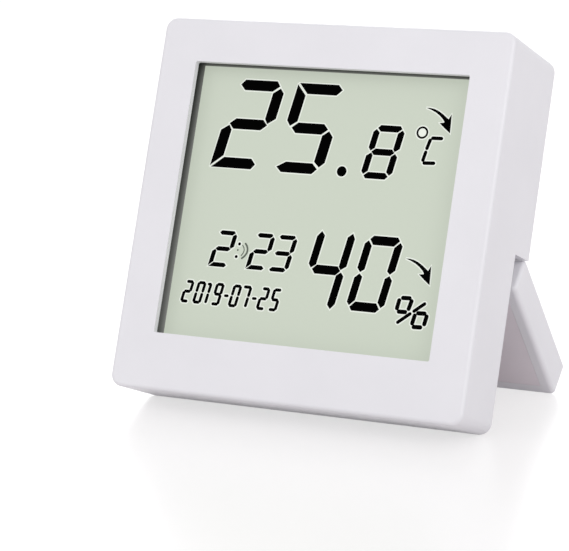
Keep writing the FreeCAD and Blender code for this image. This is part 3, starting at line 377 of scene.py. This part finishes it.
def digitShapes(digit):
    # The lit segments of one digit as outlines, drawn upright from its lower left corner
    wide, tall, lit = digit["wide"], digit["tall"], digit["lit"]
    stroke, bar = digit["stroke"], digit["bar"]
    gap = stroke * display["gap"]
    middle = tall / 2
    cut = {name: share * stroke for name, share in endCuts.items()}
    spare = {name: share * gap for name, share in endCuts.items()}
    ends = {}
    for corner in ("topLeft", "topRight", "footLeft", "footRight"):
        if corner in digit["sharp"]:
            ends[corner] = {"bar": [(stroke + spare["sharpInner"], bar), (spare["sharpOuter"], 0)],
                            "side": [(0, spare["sharpOuter"]), (stroke, bar + gap)]}
            continue
        tip = (cut["across"] / 2, cut["up"] / 2)
        barTip = digit.get("tips", {}).get(corner, tip[0] + spare["barTip"])
        barInner = digit.get("inner", {}).get(corner, stroke + spare["barInner"])
        ends[corner] = {
            "bar": [(barInner, bar), (barTip, tip[1] - spare["barTip"]), (cut["across"], 0)],
            "side": [(0, cut["up"]), (tip[0] - spare["sideTip"], tip[1] + spare["sideUp"]),
                     (stroke, bar + gap)]}

    def mirrored(points, fromRight, fromTop):
        # Points measured from a lower left corner, turned over to the right or the top
        return [(wide - x if fromRight else x, tall - y if fromTop else y) for x, y in points]

    def barShape(side):
        # A top or foot bar: both ends taken from their corners
        left = mirrored(ends[side + "Left"]["bar"], False, side == "top")
        right = mirrored(ends[side + "Right"]["bar"], True, side == "top")
        return left + right[::-1]

    def sideShape(key, corner, barKey):
        # A side stroke: its outer end from the corner, its inner end cut for the middle bar
        outer = ends[corner]["side"]
        if barKey not in lit:
            outer = [(0, cut["freeOuter"]), (cut["freeTip"], 0), (stroke, cut["freeInner"])]
        if "g" in lit:
            inner = [(stroke, cut["splitInner"]), (stroke * display["tips"][key], cut["splitTip"]),
                     (0, cut["splitOuter"])]
        else:
            inner = [(stroke, cut["openInner"]), (cut["openTip"], spare["openGap"]),
                     (0, cut["splitOuter"])]
        inner = [(x, middle - y) for x, y in inner]
        return mirrored(outer + inner, "Right" in corner, "top" in corner)

    tipX, shoulder, half = cut["middleTip"], cut["middleShoulder"], bar / 2
    shapes = {
        "a": barShape("top"), "d": barShape("foot"),
        "g": [(tipX, middle), (shoulder, middle + half), (wide - shoulder, middle + half),
              (wide - tipX, middle), (wide - shoulder, middle - half), (shoulder, middle - half)],
        "f": sideShape("f", "topLeft", "a"), "b": sideShape("b", "topRight", "a"),
        "e": sideShape("e", "footLeft", "d"), "c": sideShape("c", "footRight", "d")}
    outlines = []
    for key in lit:
        outlines.append([(digit["left"] + x + digit["slant"] * y, digit["foot"] + y)
                         for x, y in shapes[key]])
    return outlines


def strokeShape(points, width):
    # A line through points with round ends, as one outline
    half = width / 2
    steps = 8
    left, right = [], []
    for i, point in enumerate(points):
        before = Vector(points[max(i - 1, 0)])
        after = Vector(points[min(i + 1, len(points) - 1)])
        way = (after - before).normalized()
        side = Vector((-way.y, way.x)) * half
        left.append(Vector(point) + side)
        right.append(Vector(point) - side)
    outline = []
    for centre, start, run in (
            (Vector(points[-1]), left[-1], left), (Vector(points[0]), right[0], right[::-1])):
        outline += run[:-1]
        spoke = start - centre
        for step in range(steps + 1):
            angle = -math.pi * step / steps
            outline.append(centre + Vector((spoke.x * math.cos(angle) - spoke.y * math.sin(angle),
                                            spoke.x * math.sin(angle) + spoke.y * math.cos(angle))))
    return [(p.x, p.y) for p in outline]


def roundDigit(left, wide, lit):
    # One small digit of the date, its strokes with round ends that meet at the corners
    half, foot, tall = dateLine["stroke"] / 2, dateLine["foot"], dateLine["tall"]
    near, far = dateLine["corner"] * dateLine["stroke"], dateLine["waist"] * dateLine["stroke"]
    low, mid, high = half, tall / 2, tall - half
    lines = {
        "a": ((half + near, high), (wide - half - near, high)),
        "d": ((half + near, low), (wide - half - near, low)),
        "g": ((half + near, mid), (wide - half - near, mid)),
        "f": ((half, high - near), (half, mid + far)),
        "b": ((wide - half, high - near), (wide - half, mid + far)),
        "e": ((half, low + near), (half, mid - far)),
        "c": ((wide - half, low + near), (wide - half, mid - far))}
    strokes = []
    for key in lit:
        line = [(left + x + dateLine["slant"] * y, foot + y) for x, y in lines[key]]
        strokes.append(strokeShape(line, dateLine["stroke"]))
    return strokes


def discShape(across, up, radius, steps=40):
    turn = 2 * math.pi / steps
    return [(across + radius * math.cos(turn * i), up + radius * math.sin(turn * i))
            for i in range(steps)]


def area(outline):
    return 0.5 * sum(x1 * y2 - x2 * y1 for (x1, y1), (x2, y2) in zip(outline, outline[1:] + outline[:1]))


def tidyOutline(outline):
    # Drops points that coincide and turns the outline counterclockwise
    kept = []
    for point in outline:
        if not kept or math.dist(point, kept[-1]) > display["sameSpot"]:
            kept.append(point)
    if math.dist(kept[0], kept[-1]) < display["sameSpot"]:
        kept.pop()
    return kept if area(kept) > 0 else kept[::-1]


def grownOutline(outline, margin):
    # The outline moved outwards by a margin. A hairpin gets two corners, and sharp ones are held back
    hairpin = 0.4  # the two sides' normals add up to less than this in a hairpin
    sharpest = 0.62  # the least that the margin is divided by
    points = [Vector(p) for p in tidyOutline(outline)]
    grown = []
    for i, point in enumerate(points):
        before = (point - points[i - 1]).normalized()
        after = (points[(i + 1) % len(points)] - point).normalized()
        first = Vector((before.y, -before.x))
        second = Vector((after.y, -after.x))
        between = first + second
        if between.length < hairpin:
            grown += [tuple(point + first * margin), tuple(point + second * margin)]
            continue
        reach = margin / max(between.length / 2, sharpest)
        grown.append(tuple(point + between.normalized() * reach))
    return grown


def thinSolid(outlines, front, back, holes=None):
    # Closed thin plates between two depths, one for each outline; a hole is the outline's inner edge
    vertices, faces = [], []
    for i, raw in enumerate(outlines):
        rings = [tidyOutline(raw)]
        if holes and holes.get(i):
            rings.append(tidyOutline(holes[i])[::-1])
        start = len(vertices)
        flat = [point for ring in rings for point in ring]
        count = len(flat)
        for depth in (front - display["stagger"] * (i % display["staggers"]), back):
            vertices += [onHousing(x, depth, y) for x, y in flat]
        filled = tessellate_polygon([[Vector((x, y, 0)) for x, y in ring] for ring in rings])
        for a, b, c in filled:
            turn = area([flat[a], flat[b], flat[c]])
            a, b, c = (a, b, c) if turn > 0 else (a, c, b)
            faces.append((start + a, start + b, start + c))
            faces.append((start + count + a, start + count + c, start + count + b))
        first = start
        for ring in rings:
            size = len(ring)
            for j in range(size):
                k = (j + 1) % size
                faces.append((first + j, first + count + j, first + count + k, first + k))
            first += size
    return vertices, faces


def newPiece(name, vertices, faces, material, body, slotName):
    mesh = bpy.data.meshes.new(name)
    mesh.from_pydata([tuple(v) for v in vertices], [], faces)
    mesh.update()
    mesh.materials.append(material)
    piece = bpy.data.objects.new(name, mesh)
    bpy.context.scene.collection.objects.link(piece)
    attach(piece, body)
    return piece


# Small signs of the display: degree ring and letter, percent sign, colon, arrows
signs = {
    "point": (4.12, 49.92, 1.1),
    "ring": (20.83, 59.15, 1.3, 0.88),
    "letter": [[(23.28, 58.12), (25.2, 58.16)], [(22.78, 57.65), (22.33, 55.95)],
               [(22.18, 55.1), (21.82, 53.45)], [(22.2, 52.86), (24.25, 52.95)]],
    "letterStroke": 0.77,
    "flagStroke": 0.56,
    "waveStroke": 0.4,
    "faintStroke": 0.22,
    "percent": [[(21.86, 24.88), (23.29, 24.93)], [(21.09, 24.31), (20.85, 22.68)],
                [(23.8, 24.36), (23.41, 22.78)], [(21.36, 22.01), (22.74, 22.04)],
                [(25.61, 22.07), (26.99, 22.11)], [(24.93, 21.51), (24.63, 19.94)],
                [(27.53, 21.56), (27.26, 19.99)], [(25.06, 19.2), (26.49, 19.25)]],
    "percentStroke": 0.92,
    "slash": [[(26.72, 24.08), (24.65, 22.4)], [(23.85, 21.78), (21.45, 19.84)]],
    "slashStroke": 0.74,
    "flag": [(-22.5, 23.86), (-22.12, 23.92)],
    "colon": [(-16.78, 32.93, 0.35), (-17.11, 30.19, 0.35)],
    "wave": [(-15.38, 33.1), (-15.02, 32.7), (-14.78, 32.2), (-14.7, 31.7), (-14.8, 31.1), (-15.2, 30.45),
             (-15.75, 29.95)],
    "faintWave": [(-16.0, 32.7), (-15.62, 32.2), (-15.48, 31.7), (-15.6, 31.1), (-16.0, 30.5)],
    "faintDot": (-16.98, 31.62, 0.2),
    "arrow": [(-0.5, 0.05), (0.38, 0.06), (1.36, -0.1), (2.37, -0.5), (3.42, -1.12), (4.18, -1.68),
              (4.72, -2.08), (5.26, -1.0), (5.38, -2.9), (5.47, -4.98), (4.1, -3.98), (2.86, -2.97),
              (3.86, -2.84), (3.86, -2.62), (3.48, -2.14), (2.74, -1.48), (1.8, -0.86), (0.8, -0.4)],
    "arrows": [(21.42, 64.32), (21.71, 32.92)],
}
dark = []
for digit in digits.values():
    dark += digitShapes(digit)
for left, wide, lit in dateLine["places"]:
    if lit == "g":
        height = dateLine["foot"] + dateLine["tall"] / 2 - dateLine["hyphenDrop"]
        start = left + dateLine["slant"] * dateLine["tall"] / 2
        end = start + wide - dateLine["hyphenEnd"]
        hyphen = [(start + dateLine["hyphenStart"], height), (end, height)]
        dark.append(strokeShape(hyphen, dateLine["hyphenStroke"]))
    else:
        dark += roundDigit(left, wide, lit)
dark.append(strokeShape(signs["flag"], signs["flagStroke"]))
dark.append(discShape(*signs["point"]))
dark += [strokeShape(line, signs["letterStroke"]) for line in signs["letter"]]
dark += [strokeShape(line, signs["percentStroke"]) for line in signs["percent"]]
dark += [strokeShape(line, signs["slashStroke"]) for line in signs["slash"]]
dark += [discShape(*dot, steps=20) for dot in signs["colon"]]
for startX, startZ in signs["arrows"]:
    dark.append([(startX + x, startZ + z) for x, z in signs["arrow"]])
ringAt = len(dark)
ringX, ringZ, ringOuter, ringInner = signs["ring"]
dark.append(discShape(ringX, ringZ, ringOuter))
holes = {ringAt: discShape(ringX, ringZ, ringInner)}
halos = [grownOutline(outline, display["halo"]) for outline in dark]
front = display["front"]
newPiece("displaySegments", *thinSolid(dark, front - display["rise"], front, holes), segmentInk,
         "housing", "display_film")
newPiece("displayHalos", *thinSolid(halos, front - display["haloRise"], front), haloInk,
         "housing", "display_film")
veils = [strokeShape(signs["wave"], signs["waveStroke"]),
         strokeShape(signs["faintWave"], signs["faintStroke"]),
         discShape(*signs["faintDot"], steps=16)]
newPiece("displayVeils", *thinSolid(veils, front - display["rise"], front), veilInk,
         "housing", "display_film")
print("display:", len(dark), "segments")

# Cross-recessed screws, made once and set at each hole
caseScrews = {
    "headRadius": 1.9, "headHeight": 1.4, "shankRadius": 1.0, "shankLength": 8.0,
    "slotLength": 2.2, "slotWidth": 0.5, "slotDepth": 0.85,
    "across": 35.2, "low": 4.8, "high": 75.2, "lowSeat": 15.2, "highSeat": 23.4,
}
boardScrews = {
    "headRadius": 1.5, "headHeight": 1.0, "shankRadius": 0.8, "shankLength": 5.0,
    "slotLength": 1.7, "slotWidth": 0.4, "slotDepth": 0.6,
    "across": 20.0, "low": 4.0, "high": 76.0, "lowSeat": 9.1, "highSeat": 9.1,
}
screwShape = {"wall": 0.6, "dome": 0.4, "domeScale": 0.78, "overlap": 0.49,  # shares of the lengths above
              "headSides": 36, "shankSides": 24}
screwLengths = ("headRadius", "headHeight", "shankRadius", "shankLength", "slotLength", "slotWidth",
                "slotDepth")


def screwTree():
    # Head with a tapered rim and a crossed slot, shank, then a copy at each point
    tree = bpy.data.node_groups.new("crossHeadScrews", "GeometryNodeTree")
    sockets = {}
    tree.interface.new_socket(name="Geometry", in_out="OUTPUT", socket_type="NodeSocketGeometry")
    tree.interface.new_socket(name="Geometry", in_out="INPUT", socket_type="NodeSocketGeometry")
    kinds = {**{name: "NodeSocketFloat" for name in screwLengths},
             "tilt": "NodeSocketVector", "finish": "NodeSocketMaterial"}
    for name, kind in kinds.items():
        made = tree.interface.new_socket(name=name, in_out="INPUT", socket_type=kind)
        sockets[name] = made.identifier
    start = addNode(tree, "NodeGroupInput")

    def times(value, factor):
        return addNode(tree, "ShaderNodeMath", {0: value, 1: factor}, operation="MULTIPLY").outputs[0]

    def vector(x=0.0, y=0.0, z=0.0):
        return addNode(tree, "ShaderNodeCombineXYZ", {"X": x, "Y": y, "Z": z}).outputs[0]

    height = start.outputs["headHeight"]
    length = start.outputs["shankLength"]
    head = addNode(tree, "GeometryNodeMeshCylinder", {
        "Vertices": screwShape["headSides"], "Radius": start.outputs["headRadius"],
        "Depth": times(height, screwShape["wall"])})
    rim = addNode(tree, "GeometryNodeExtrudeMesh", {
        "Mesh": head.outputs["Mesh"], "Selection": head.outputs["Top"],
        "Offset Scale": times(height, screwShape["dome"]), "Individual": False})
    domed = addNode(tree, "GeometryNodeScaleElements", {
        "Geometry": rim.outputs["Mesh"], "Selection": rim.outputs["Top"],
        "Scale": screwShape["domeScale"]})
    raised = addNode(tree, "GeometryNodeTransform", {
        "Geometry": domed.outputs[0], "Translation": vector(z=times(height, screwShape["wall"] / 2))})
    shank = addNode(tree, "GeometryNodeMeshCylinder", {
        "Vertices": screwShape["shankSides"], "Radius": start.outputs["shankRadius"], "Depth": length})
    sunk = addNode(tree, "GeometryNodeTransform", {
        "Geometry": shank.outputs["Mesh"], "Translation": vector(z=times(length, -screwShape["overlap"]))})
    joined = addNode(tree, "GeometryNodeMeshBoolean", {"Mesh 2": raised.outputs[0]}, operation="UNION")
    tree.links.new(sunk.outputs[0], joined.inputs["Mesh 2"])
    cut = addNode(tree, "GeometryNodeMeshBoolean", {"Mesh 1": joined.outputs[0]}, operation="DIFFERENCE")
    deep = times(start.outputs["slotDepth"], 2.0)  # the blade's middle is level with the head's top
    for long, short in (("slotLength", "slotWidth"), ("slotWidth", "slotLength")):
        blade = addNode(tree, "GeometryNodeMeshCube", {
            "Size": vector(start.outputs[long], start.outputs[short], deep)})
        lifted = addNode(tree, "GeometryNodeTransform", {
            "Geometry": blade.outputs["Mesh"], "Translation": vector(z=height)})
        tree.links.new(lifted.outputs[0], cut.inputs["Mesh 2"])
    placed = addNode(tree, "GeometryNodeInstanceOnPoints", {
        "Points": start.outputs["Geometry"], "Instance": cut.outputs[0],
        "Rotation": start.outputs["tilt"]})
    real = addNode(tree, "GeometryNodeRealizeInstances", {"Geometry": placed.outputs[0]})
    dressed = addNode(tree, "GeometryNodeSetMaterial", {
        "Geometry": real.outputs[0], "Material": start.outputs["finish"]})
    addNode(tree, "NodeGroupOutput", {"Geometry": dressed.outputs[0]})
    return tree, sockets


def growPiece(name, places, tree, sockets, values, body):
    # Runs the tree on points and keeps the result as a plain mesh
    seedMesh = bpy.data.meshes.new(name + "Points")
    seedMesh.from_pydata([tuple(p) for p in places], [], [])
    seed = bpy.data.objects.new(name + "Points", seedMesh)
    bpy.context.scene.collection.objects.link(seed)
    modifier = seed.modifiers.new("grow", "NODES")
    modifier.node_group = tree
    for key, value in values.items():
        modifier[sockets[key]] = value
    graph = bpy.context.evaluated_depsgraph_get()
    mesh = bpy.data.meshes.new_from_object(seed.evaluated_get(graph))
    bpy.data.objects.remove(seed)
    mesh.name = name
    mesh.shade_smooth()
    mesh.set_sharp_from_angle(angle=math.radians(30))
    piece = bpy.data.objects.new(name, mesh)
    bpy.context.scene.collection.objects.link(piece)
    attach(piece, body)
    return piece


crossHead, crossSockets = screwTree()
outward = (math.radians(-90 - housing["lean"]), 0.0, 0.0)  # the screws' heads face the back
for name, node, size in (("caseScrewHeads", "case_screws", caseScrews),
                         ("boardScrewHeads", "board_screws", boardScrews)):
    places = [onHousing(side * size["across"], size[row + "Seat"], size[row])
              for row in ("low", "high") for side in (-1, 1)]
    values = {key: size[key] * millimetre for key in screwLengths}
    values["tilt"] = outward
    values["finish"] = zinc
    screws = growPiece(name, places, crossHead, crossSockets, values, "housing")
    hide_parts(node)
    print(name, len(screws.data.vertices), "vertices")


def seenPlainly(tree):
    # 1 for rays from the camera, from a mirror or through glass, which see the pale background
    path = addNode(tree, "ShaderNodeLightPath")
    direct = addNode(tree, "ShaderNodeMath", {
        0: path.outputs["Is Camera Ray"], 1: path.outputs["Is Glossy Ray"]}, operation="MAXIMUM")
    through = addNode(tree, "ShaderNodeMath", {
        0: direct.outputs[0], 1: path.outputs["Is Transmission Ray"]}, operation="MAXIMUM")
    return through.outputs[0]


# Pale polished floor. The camera and mirrors see it near white, with the object's soft shadow kept
floorLook = {"colour": "#f6f2f3", "bounce": 0.9, "white": 0.76, "shade": 0.3,
             "sheen": 0.16, "polish": 0.3, "reach": 6.0}
floorPaint = bpy.data.materials.new("paleFloor")
floorPaint.use_nodes = True
tree = floorPaint.node_tree
tree.nodes.clear()
colour = linearColour(floorLook["colour"])
plain = addNode(tree, "ShaderNodeBsdfDiffuse", {
    "Color": (*(c * floorLook["bounce"] for c in colour[:3]), 1.0)})
shaded = addNode(tree, "ShaderNodeBsdfDiffuse", {
    "Color": (*(c * floorLook["shade"] for c in colour[:3]), 1.0)})
glow = addNode(tree, "ShaderNodeEmission", {"Color": (1, 1, 1, 1), "Strength": floorLook["white"]})
paled = addNode(tree, "ShaderNodeAddShader", {0: shaded.outputs[0], 1: glow.outputs[0]})
gloss = addNode(tree, "ShaderNodeBsdfGlossy", {"Color": (1, 1, 1, 1), "Roughness": floorLook["polish"]})
polished = addNode(tree, "ShaderNodeMixShader", {
    "Fac": floorLook["sheen"], 1: paled.outputs[0], 2: gloss.outputs[0]})
whole = addNode(tree, "ShaderNodeMixShader", {
    "Fac": seenPlainly(tree), 1: plain.outputs[0], 2: polished.outputs[0]})
addNode(tree, "ShaderNodeOutputMaterial", {"Surface": whole.outputs[0]})
reach = floorLook["reach"]
floorMesh = bpy.data.meshes.new("floor")
floorMesh.from_pydata([(-reach, -reach, 0), (reach, -reach, 0), (reach, reach, 0), (-reach, reach, 0)],
                      [], [(0, 1, 2, 3)])
floorMesh.materials.append(floorPaint)
floor = bpy.data.objects.new("floor", floorMesh)
bpy.context.scene.collection.objects.link(floor)

# Even studio light from all round, white where the camera looks past the floor
worldLook = {"light": 0.7, "background": 1.0}
world = bpy.data.worlds.new("studio")
world.use_nodes = True
bpy.context.scene.world = world
tree = world.node_tree
tree.nodes.clear()
skyLight = addNode(tree, "ShaderNodeBackground", {
    "Color": (1, 1, 1, 1), "Strength": worldLook["light"]})
whiteBack = addNode(tree, "ShaderNodeBackground", {
    "Color": (1, 1, 1, 1), "Strength": worldLook["background"]})
sky = addNode(tree, "ShaderNodeMixShader", {
    "Fac": seenPlainly(tree), 1: skyLight.outputs[0], 2: whiteBack.outputs[0]})
addNode(tree, "ShaderNodeOutputWorld", {"Surface": sky.outputs[0]})

# A large soft lamp from the front right lights the edge between face and side most; weak ones fill the
# face and the back
lamps = {
    "rightSoft": {"place": (0.726, -0.609, 0.59), "size": 0.5, "power": 2.9},
    "leftFill": {"place": (-0.37, -1.02, 0.55), "size": 0.8, "power": 1.5},
    "backFill": {"place": (-0.45, 0.75, 0.4), "size": 0.6, "power": 2.6},
}
lampTarget = Vector((0, 0, 0.04))
for name, lamp in lamps.items():
    light = bpy.data.lights.new(name, "AREA")
    light.shape = "SQUARE"
    light.size = lamp["size"]
    light.energy = lamp["power"]
    holder = bpy.data.objects.new(name, light)
    aim = (lampTarget - Vector(lamp["place"])).to_track_quat("-Z", "Y").to_matrix().to_4x4()
    holder.matrix_world = Matrix.Translation(lamp["place"]) @ aim
    bpy.context.scene.collection.objects.link(holder)
print("stage set")

# Camera at the photograph's place; angles in degrees, lengths in metres
view = {"place": (0.212077, -0.455173, 0.129704), "azimuth": 26.3485, "elevation": 11.5429,
        "roll": -0.284, "lens": 152.39, "sensor": 36.0, "nearest": 0.01}
azimuth, elevation, roll = (math.radians(view[key]) for key in ("azimuth", "elevation", "roll"))
back = Vector((math.sin(azimuth) * math.cos(elevation), -math.cos(azimuth) * math.cos(elevation),
               math.sin(elevation)))
level = Vector((math.cos(azimuth), math.sin(azimuth), 0))
upright = back.cross(level)
right = level * math.cos(roll) + upright * math.sin(roll)
up = upright * math.cos(roll) - level * math.sin(roll)
lens = bpy.data.cameras.new("camera")
lens.lens = view["lens"]
lens.sensor_width = view["sensor"]
lens.clip_start = view["nearest"]
camera = bpy.data.objects.new("camera", lens)
turned = Matrix((right, up, back)).transposed().to_4x4()
camera.matrix_world = Matrix.Translation(view["place"]) @ turned
bpy.context.scene.collection.objects.link(camera)
bpy.context.scene.camera = camera
bpy.context.scene.view_settings.view_transform = "Standard"
